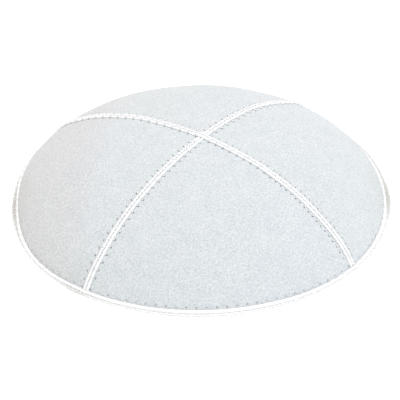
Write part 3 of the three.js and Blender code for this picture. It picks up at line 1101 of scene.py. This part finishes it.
def thread_tree():
    """Sweeps a two-ply twisted thread along each line of points."""
    tree = new_tree("twisted_thread", [
        ("Thread diameter", "Float"), ("Twist length", "Float"), ("Material", "Material"),
    ])
    given = add_node(tree, "NodeGroupInput").outputs
    lines = add_node(tree, "GeometryNodeMeshToCurve", {}, {"Mesh": given["Geometry"]})
    length = add_node(tree, "GeometryNodeSplineParameter").outputs["Length"]
    turns = add_node(tree, "ShaderNodeMath", {"operation": "DIVIDE"}, {
        0: length, 1: given["Twist length"],
    })
    tilt = add_node(tree, "ShaderNodeMath", {"operation": "MULTIPLY"}, {0: turns, 1: FULL_TURN})
    twisted = add_node(tree, "GeometryNodeSetCurveTilt", {}, {"Curve": lines, "Tilt": tilt})
    radius = add_node(tree, "ShaderNodeMath", {"operation": "MULTIPLY"}, {
        0: given["Thread diameter"], 1: 0.5,
    })
    ring = add_node(tree, "GeometryNodeCurvePrimitiveCircle", {"mode": "RADIUS"}, {
        "Resolution": 7, "Radius": radius,
    })
    two_ply = add_node(tree, "GeometryNodeTransform", {}, {
        "Geometry": ring, "Scale": (1.12, 0.82, 1.0),
    })
    thread = add_node(tree, "GeometryNodeCurveToMesh", {}, {
        "Curve": twisted, "Profile Curve": two_ply, "Fill Caps": True,
    })
    finish_tree(tree, thread, given["Material"])
    return tree


def finish_tree(tree, geometry, material):
    """Ends a tree in plain geometry with its material."""
    smooth = add_node(tree, "GeometryNodeSetShadeSmooth", {}, {"Geometry": geometry})
    plain = add_node(tree, "GeometryNodeRealizeInstances", {}, {"Geometry": smooth})
    painted = add_node(tree, "GeometryNodeSetMaterial", {}, {"Geometry": plain, "Material": material})
    add_node(tree, "NodeGroupOutput", {}, {"Geometry": painted})


def needle_hole_tree():
    """Sets a small cup at each needle mark, turned to face outward and slightly uneven in size."""
    tree = new_tree("needle_holes", [
        ("Cup", "Object"), ("Hole diameter", "Float"), ("Unevenness", "Float"),
        ("Material", "Material"),
    ])
    given = add_node(tree, "NodeGroupInput").outputs
    cup = add_node(tree, "GeometryNodeObjectInfo", {}, {"Object": given["Cup"]})
    facing = add_node(tree, "GeometryNodeInputNamedAttribute", {"data_type": "FLOAT_VECTOR"}, {
        "Name": "facing",
    })
    rotation = add_node(tree, "FunctionNodeAlignRotationToVector", {"axis": "Z"}, {
        "Vector": facing,
    })
    smallest = add_node(tree, "ShaderNodeMath", {"operation": "SUBTRACT"}, {
        0: 1.0, 1: given["Unevenness"],
    })
    largest = add_node(tree, "ShaderNodeMath", {"operation": "ADD"}, {0: 1.0, 1: given["Unevenness"]})
    uneven = add_node(tree, "FunctionNodeRandomValue", {"data_type": "FLOAT"}, {
        2: smallest, 3: largest, "Seed": 7,
    })
    widening = add_node(tree, "GeometryNodeInputNamedAttribute", {"data_type": "FLOAT"}, {
        "Name": "widening",
    })
    own_size = add_node(tree, "ShaderNodeMath", {"operation": "MULTIPLY"}, {0: uneven, 1: widening})
    size = add_node(tree, "ShaderNodeMath", {"operation": "MULTIPLY"}, {
        0: own_size, 1: given["Hole diameter"],
    })
    holes = add_node(tree, "GeometryNodeInstanceOnPoints", {}, {
        "Points": given["Geometry"], "Instance": cup.outputs["Geometry"],
        "Rotation": rotation, "Scale": size,
    })
    finish_tree(tree, holes, given["Material"])
    return tree


# Cup of a needle hole, from its floor over its lip to its underside, one unit across: distance
# from its axis, height, and depth of shade
HOLE_CUP = [
    (0.0, -0.6, 1.0), (0.2, -0.42, 1.0), (0.32, -0.18, 0.9), (0.42, -0.03, 0.45), (0.52, 0.03, 0.0),
    (0.46, -0.3, 1.0), (0.28, -0.72, 1.0), (0.0, -0.78, 1.0),
]


def needle_cup():
    """A closed cup, one unit across, whose lip stands just proud of the suede."""
    around = 12
    vertices, depths, faces = [], [], []
    for radius, height, depth in HOLE_CUP[1:-1]:
        here = len(vertices)
        if here:
            faces += ring_faces(here - around, here, around)
        ring = polar(radius, np.arange(around) * FULL_TURN / around)
        vertices += [(x, y, height) for x, y in ring.tolist()]
        depths += [depth] * around
    floor = len(vertices)
    for _, height, depth in (HOLE_CUP[0], HOLE_CUP[-1]):
        vertices.append((0, 0, height))
        depths.append(depth)
    for i in range(around):
        following = (i + 1) % around
        faces.append((i, following, floor))
        faces.append((floor - around + following, floor - around + i, floor + 1))
    mesh = bpy.data.meshes.new("needle_cup")
    mesh.from_pydata(vertices, [], faces)
    store(mesh, "depth", depths)
    return bpy.data.objects.new("needle_cup", mesh)


def lines_mesh(name, lines):
    """A mesh of loose lines."""
    vertices, edges = [], []
    for line in lines:
        start = len(vertices)
        vertices += line.tolist()
        edges += [(start + i, start + i + 1) for i in range(len(line) - 1)]
    mesh = bpy.data.meshes.new(name)
    mesh.from_pydata(vertices, edges, [])
    return mesh


def sewn_thread(name, lines, settings):
    """A thread along each line, as one piece."""
    mesh = baked(name, lines_mesh(name + "_lines", lines), thread_tree(), {
        "Thread diameter": settings.diameter, "Twist length": settings.twist_length,
        "Material": material_once("spun_thread", spun_thread, settings),
    })
    return place_piece(name, mesh)


def material_once(name, maker, *details):
    """A material by name, made the first time that it is asked for."""
    return bpy.data.materials.get(name) or maker(name, *details)


def needle_holes(name, places, facings, widening, settings):
    """Pierced cups at the given places, as one piece. Widening is a factor on each one's size."""
    points = bpy.data.meshes.new(name + "_points")
    points.from_pydata(places.tolist(), [], [])
    layer = points.attributes.new("facing", "FLOAT_VECTOR", "POINT")
    layer.data.foreach_set("vector", facings.astype(np.float32).ravel())
    store(points, "widening", widening)
    cup = needle_cup()
    mesh = baked(name, points, needle_hole_tree(), {
        "Cup": cup, "Hole diameter": settings.hole_diameter, "Unevenness": 0.16,
        "Material": material_once("pierced_hide", pierced_hide, settings),
    })
    bpy.data.objects.remove(cup)
    return place_piece(name, mesh)


# Settings

class SkullcapSuede(PropertyGroup):
    """Sizes and colours of the suede."""
    right_colour: FloatVectorProperty(
        name="Right gore", description="Colour of the right gore", subtype="COLOR",
        default=linear("#D4D9DC"), min=0, max=1)
    back_colour: FloatVectorProperty(
        name="Back gore", description="Colour of the back gore", subtype="COLOR",
        default=linear("#D5D9DC"), min=0, max=1)
    left_colour: FloatVectorProperty(
        name="Left gore", description="Colour of the left gore", subtype="COLOR",
        default=linear("#D4D9DD"), min=0, max=1)
    front_colour: FloatVectorProperty(
        name="Front gore", description="Colour of the front gore", subtype="COLOR",
        default=linear("#D4D9DD"), min=0, max=1)
    tuft_size: FloatProperty(
        name="Tuft size", description="Width of a tuft of the nap", unit="LENGTH",
        default=0.75 * MM, min=0.1 * MM)
    pore_spacing: FloatProperty(
        name="Pore spacing", description="Distance between dark specks", unit="LENGTH",
        default=7 * MM, min=1 * MM)
    nap_height: FloatProperty(
        name="Nap height", description="Depth of the nap's relief", unit="LENGTH",
        default=0.11 * MM, min=0)
    stitch_pull: FloatProperty(
        name="Stitch pull", description="How far a stitch pulls the suede in", unit="LENGTH",
        default=0.16 * MM, min=0)
    mesh_spacing: FloatProperty(
        name="Mesh spacing", description="Distance between the gores' points", unit="LENGTH",
        default=1.1 * MM, min=0.5 * MM)


class SkullcapBraid(PropertyGroup):
    """Sizes and colours of the braid on the seams and the rim."""
    colour: FloatVectorProperty(
        name="Braid", description="Colour of the braid", subtype="COLOR",
        default=linear("#FAFBFD"), min=0, max=1)
    # Colour of the painted shade in the braid's groove
    groove_shade_colour: FloatVectorProperty(
        name="Groove", description="Colour of the braid in its groove", subtype="COLOR",
        default=linear("#C9CCD0"), min=0, max=1)
    # Colour of the painted shade on the binding's foot at the sides
    foot_shade_colour: FloatVectorProperty(
        name="Foot shade", description="Colour of the binding where it is handled",
        subtype="COLOR", default=linear("#BFBDB7"), min=0, max=1)
    yarn_pitch: FloatProperty(
        name="Yarn pitch", description="Length of braid for one yarn", unit="LENGTH",
        default=0.62 * MM, min=0.1 * MM)
    yarn_relief: FloatProperty(
        name="Yarn relief", description="Height of a yarn over the braid", unit="LENGTH",
        default=0.035 * MM, min=0)
    mesh_step: FloatProperty(
        name="Seam mesh step", description="Distance between rings of a seam braid",
        unit="LENGTH", default=0.155 * MM, min=0.05 * MM)
    binding_mesh_step: FloatProperty(
        name="Rim mesh step", description="Distance between rings of the binding",
        unit="LENGTH", default=0.25 * MM, min=0.05 * MM)


class SkullcapStitches(PropertyGroup):
    """Sizes and colours of the zigzag stitches."""
    colour: FloatVectorProperty(
        name="Thread", description="Colour of the thread", subtype="COLOR",
        default=linear("#FDFDFD"), min=0, max=1)
    # Colour of the painted shade deep inside a needle hole
    hole_shade_colour: FloatVectorProperty(
        name="Hole", description="Colour inside a needle hole", subtype="COLOR",
        default=linear("#4A4D50"), min=0, max=1)
    hole_rim_colour: FloatVectorProperty(
        name="Hole rim", description="Colour at the rim of a needle hole", subtype="COLOR",
        default=linear("#C9CED1"), min=0, max=1)
    diameter: FloatProperty(
        name="Thread diameter", description="Thickness of the thread", unit="LENGTH",
        default=0.32 * MM, min=0.05 * MM)
    twist_length: FloatProperty(
        name="Twist length", description="Length of one twist of the thread", unit="LENGTH",
        default=1.6 * MM, min=0.2 * MM)
    hole_diameter: FloatProperty(
        name="Needle hole", description="Width of a needle hole", unit="LENGTH",
        default=0.68 * MM, min=0.1 * MM)
    seam_stitch_length: FloatProperty(
        name="Seam stitch length", description="One cycle of the zigzag on a seam",
        unit="LENGTH", default=3.6 * MM, min=1 * MM)
    seam_stitch_width: FloatProperty(
        name="Seam stitch width", description="Width of the zigzag on a seam", unit="LENGTH",
        default=4.95 * MM, min=4.4 * MM)
    rim_stitch_length: FloatProperty(
        name="Rim stitch length", description="One cycle of the zigzag on the rim",
        unit="LENGTH", default=4.4 * MM, min=1 * MM)


class SkullcapStage(PropertyGroup):
    """Floor and lights."""
    floor_colour: FloatVectorProperty(
        name="Floor", description="Colour of the floor", subtype="COLOR",
        default=linear("#FAFAFA"), min=0, max=1)
    floor_glow: FloatProperty(
        name="Floor glow", description="Light that the floor gives off", default=0.39, min=0)
    surround: FloatProperty(
        name="Surround", description="Strength of the light from all sides", default=1.14, min=0)
    top_light: FloatVectorProperty(
        name="From above", description="Colour of the light from above", subtype="COLOR",
        default=(0.775, 0.765, 0.77), min=0, max=1)
    front_light: FloatVectorProperty(
        name="From the front", description="Colour of the light from the front",
        subtype="COLOR", default=(0.75, 0.79, 0.8), min=0, max=1)
    back_light: FloatVectorProperty(
        name="From the back", description="Colour of the light from the back",
        subtype="COLOR", default=(0.8, 0.77, 0.75), min=0, max=1)
    left_light: FloatVectorProperty(
        name="From the left", description="Colour of the light from the left",
        subtype="COLOR", default=(0.68, 0.62, 0.52), min=0, max=1)
    right_light: FloatVectorProperty(
        name="From the right", description="Colour of the light from the right",
        subtype="COLOR", default=(0.5, 0.48, 0.47), min=0, max=1)
    key_power: FloatProperty(
        name="Key light", description="Power of the light from above", unit="POWER",
        default=12.6, min=0)


# Operators

class SKULLCAP_OT_suede_gores(Operator):
    """Makes the four suede gores"""
    bl_idname = "skullcap.suede_gores"
    bl_label = "Suede gores"

    def execute(self, context):
        settings = context.scene.skullcap_suede
        marks = suede_marks(context.scene.skullcap_stitches)
        for side, middle in GORE_MIDDLES.items():
            colour = getattr(settings, side + "_colour")
            material = brushed_suede("brushed_suede_" + side, tuple(colour), settings)
            suede_gore(side, middle, marks, material, settings)
        return {"FINISHED"}


class SKULLCAP_OT_seam_braids(Operator):
    """Makes the long braid and the two short ones over the seams"""
    bl_idname = "skullcap.seam_braids"
    bl_label = "Seam braids"

    def execute(self, context):
        settings = context.scene.skullcap_braid
        material = material_once("woven_braid", woven_braid, settings)
        for place, azimuth, start, shape in SEAM_BRAIDS:
            seam_braid(place, azimuth, start, shape, material, settings)
        return {"FINISHED"}


class SKULLCAP_OT_rim_binding(Operator):
    """Makes the braid that binds the rim"""
    bl_idname = "skullcap.rim_binding"
    bl_label = "Rim binding"

    def execute(self, context):
        settings = context.scene.skullcap_braid
        rim_binding_mesh(material_once("woven_braid", woven_braid, settings), settings)
        return {"FINISHED"}


class SKULLCAP_OT_stitches(Operator):
    """Sews the zigzag stitches over the braids and the binding, and the thread inside"""
    bl_idname = "skullcap.stitches"
    bl_label = "Stitches"

    def execute(self, context):
        settings = context.scene.skullcap_stitches
        sewn_thread("seam_zigzag_thread", seam_thread_lines(settings), settings)
        sewn_thread("rim_zigzag_thread", rim_thread_lines(settings), settings)
        sewn_thread("inner_seam_thread", inner_thread_lines(settings), settings)
        return {"FINISHED"}


class SKULLCAP_OT_needle_holes(Operator):
    """Makes the holes that the needle left beside the braids and over the binding"""
    bl_idname = "skullcap.needle_holes"
    bl_label = "Needle holes"

    def execute(self, context):
        settings = context.scene.skullcap_stitches
        flat = suede_marks(settings)
        sunk = np.full(len(flat), -settings.hole_diameter * HOLE_SUNK)
        widening = np.where(from_top(flat) > RAY_END - RIM_WIDENED, RIM_WIDENING, 1.0)
        widening = widening * (1 - closed_share(flat))
        needle_holes("needle_holes", over_suede(flat, sunk), outward(flat), widening, settings)
        return {"FINISHED"}


class SKULLCAP_OT_stage(Operator):
    """Makes the floor, the lights and the camera"""
    bl_idname = "skullcap.stage"
    bl_label = "Stage"

    def execute(self, context):
        settings = context.scene.skullcap_stage
        scene = context.scene
        make_camera(scene)
        make_floor(settings)
        make_lights(scene, settings)
        return {"FINISHED"}


def make_camera(scene):
    """Puts the camera where the photograph was taken from."""
    e, turn, roll = VIEW_ELEVATION, VIEW_AZIMUTH, VIEW_ROLL
    back = Vector((math.sin(turn) * math.cos(e), -math.cos(turn) * math.cos(e), math.sin(e)))
    level = Vector((math.cos(turn), math.sin(turn), 0))
    upright = back.cross(level).normalized()
    right = level * math.cos(roll) - upright * math.sin(roll)
    up = level * math.sin(roll) + upright * math.cos(roll)
    data = bpy.data.cameras.new("camera")
    data.sensor_fit = "HORIZONTAL"
    data.sensor_width = SENSOR_WIDTH
    data.lens = FOCAL_PIXELS / PHOTO_SIDE * SENSOR_WIDTH
    data.clip_start = 0.01
    data.clip_end = 20
    camera = bpy.data.objects.new("camera", data)
    scene.collection.objects.link(camera)
    facing = Matrix((right, up, back)).transposed().to_4x4()
    place = Vector(VIEW_TARGET) + back * VIEW_DISTANCE
    camera.matrix_world = Matrix.Translation(place) @ facing
    scene.camera = camera


def make_floor(settings):
    """A large plain floor under the cap."""
    mesh = bpy.data.meshes.new("floor")
    shape = bmesh.new()
    bmesh.ops.create_grid(shape, x_segments=4, y_segments=4, size=FLOOR_REACH)
    bmesh.ops.translate(shape, verts=shape.verts, vec=(0, 0, -FLOOR_DROP))
    shape.to_mesh(mesh)
    shape.free()
    mesh.materials.append(white_sweep("white_sweep", settings))
    floor = bpy.data.objects.new("floor", mesh)
    bpy.context.scene.collection.objects.link(floor)


def make_lights(scene, settings):
    """Soft light of its own colour from each side and from above, and one large light."""
    world = bpy.data.worlds.new("studio")
    scene.world = world
    world.use_nodes = True
    tree = world.node_tree
    tree.nodes.clear()
    ray = add_node(tree, "ShaderNodeTexCoord").outputs["Generated"]
    split = add_node(tree, "ShaderNodeSeparateXYZ", {}, {"Vector": ray})
    sides = [
        ("X", settings.left_light, settings.right_light),
        ("Y", settings.front_light, settings.back_light),
        ("Z", settings.top_light, settings.top_light),
    ]
    # The squares of a ray's three parts add up to 1, so they blend the sides evenly
    total = (0.0, 0.0, 0.0)
    for axis, low_colour, high_colour in sides:
        part = split.outputs[axis]
        high = add_node(tree, "ShaderNodeMath", {"operation": "GREATER_THAN"}, {0: part, 1: 0.0})
        colour = add_node(tree, "ShaderNodeMix", {"data_type": "RGBA"}, {
            "Factor": high, "A": shade(low_colour), "B": shade(high_colour),
        })
        square = add_node(tree, "ShaderNodeMath", {"operation": "MULTIPLY"}, {0: part, 1: part})
        total = add_node(tree, "ShaderNodeVectorMath", {"operation": "MULTIPLY_ADD"}, {
            0: colour, 1: square, 2: total,
        })
    backdrop = add_node(tree, "ShaderNodeBackground", {}, {
        "Color": total, "Strength": settings.surround,
    })
    add_node(tree, "ShaderNodeOutputWorld", {}, {"Surface": backdrop})
    soft_light(scene, "key_light", KEY_PLACE, KEY_SIZE, settings.key_power)
    scene.view_settings.view_transform = "Standard"


def soft_light(scene, name, place, size, power):
    """A large round light that faces the cap."""
    data = bpy.data.lights.new(name, "AREA")
    data.energy = power
    data.shape = "DISK"
    data.size = size
    light = bpy.data.objects.new(name, data)
    scene.collection.objects.link(light)
    light.location = place
    light.rotation_euler = Vector(place).to_track_quat("Z", "Y").to_euler()


# Panel and registration

class SKULLCAP_PT_sidebar(Panel):
    """Lists the settings and the operators"""
    bl_idname = "SKULLCAP_PT_sidebar"
    bl_label = "Suede skullcap"
    bl_space_type = "VIEW_3D"
    bl_region_type = "UI"
    bl_category = "Skullcap"

    def draw(self, context):
        for group, operators in PANEL_ROWS:
            box = self.layout.box()
            settings = getattr(context.scene, group)
            for name in settings.bl_rna.properties.keys():
                if name not in {"rna_type", "name"}:
                    box.prop(settings, name)
            for operator in operators:
                box.operator(operator.bl_idname)


PANEL_ROWS = [
    ("skullcap_suede", [SKULLCAP_OT_suede_gores]),
    ("skullcap_braid", [SKULLCAP_OT_seam_braids, SKULLCAP_OT_rim_binding]),
    ("skullcap_stitches", [SKULLCAP_OT_stitches, SKULLCAP_OT_needle_holes]),
    ("skullcap_stage", [SKULLCAP_OT_stage]),
]
SETTINGS = {
    "skullcap_suede": SkullcapSuede,
    "skullcap_braid": SkullcapBraid,
    "skullcap_stitches": SkullcapStitches,
    "skullcap_stage": SkullcapStage,
}
OPERATORS = [
    SKULLCAP_OT_stage,
    SKULLCAP_OT_suede_gores,
    SKULLCAP_OT_seam_braids,
    SKULLCAP_OT_rim_binding,
    SKULLCAP_OT_stitches,
    SKULLCAP_OT_needle_holes,
]


def register():
    for group in SETTINGS.values():
        bpy.utils.register_class(group)
    for name, group in SETTINGS.items():
        setattr(bpy.types.Scene, name, PointerProperty(type=group))
    for operator in OPERATORS:
        bpy.utils.register_class(operator)
    bpy.utils.register_class(SKULLCAP_PT_sidebar)


def unregister():
    bpy.utils.unregister_class(SKULLCAP_PT_sidebar)
    for operator in reversed(OPERATORS):
        bpy.utils.unregister_class(operator)
    for name in SETTINGS:
        delattr(bpy.types.Scene, name)
    for group in reversed(list(SETTINGS.values())):
        bpy.utils.unregister_class(group)


def main():
    """Builds the whole cap."""
    register()
    for operator in OPERATORS:
        group, name = operator.bl_idname.split(".")
        getattr(getattr(bpy.ops, group), name)()


if __name__ == "__main__":
    main()
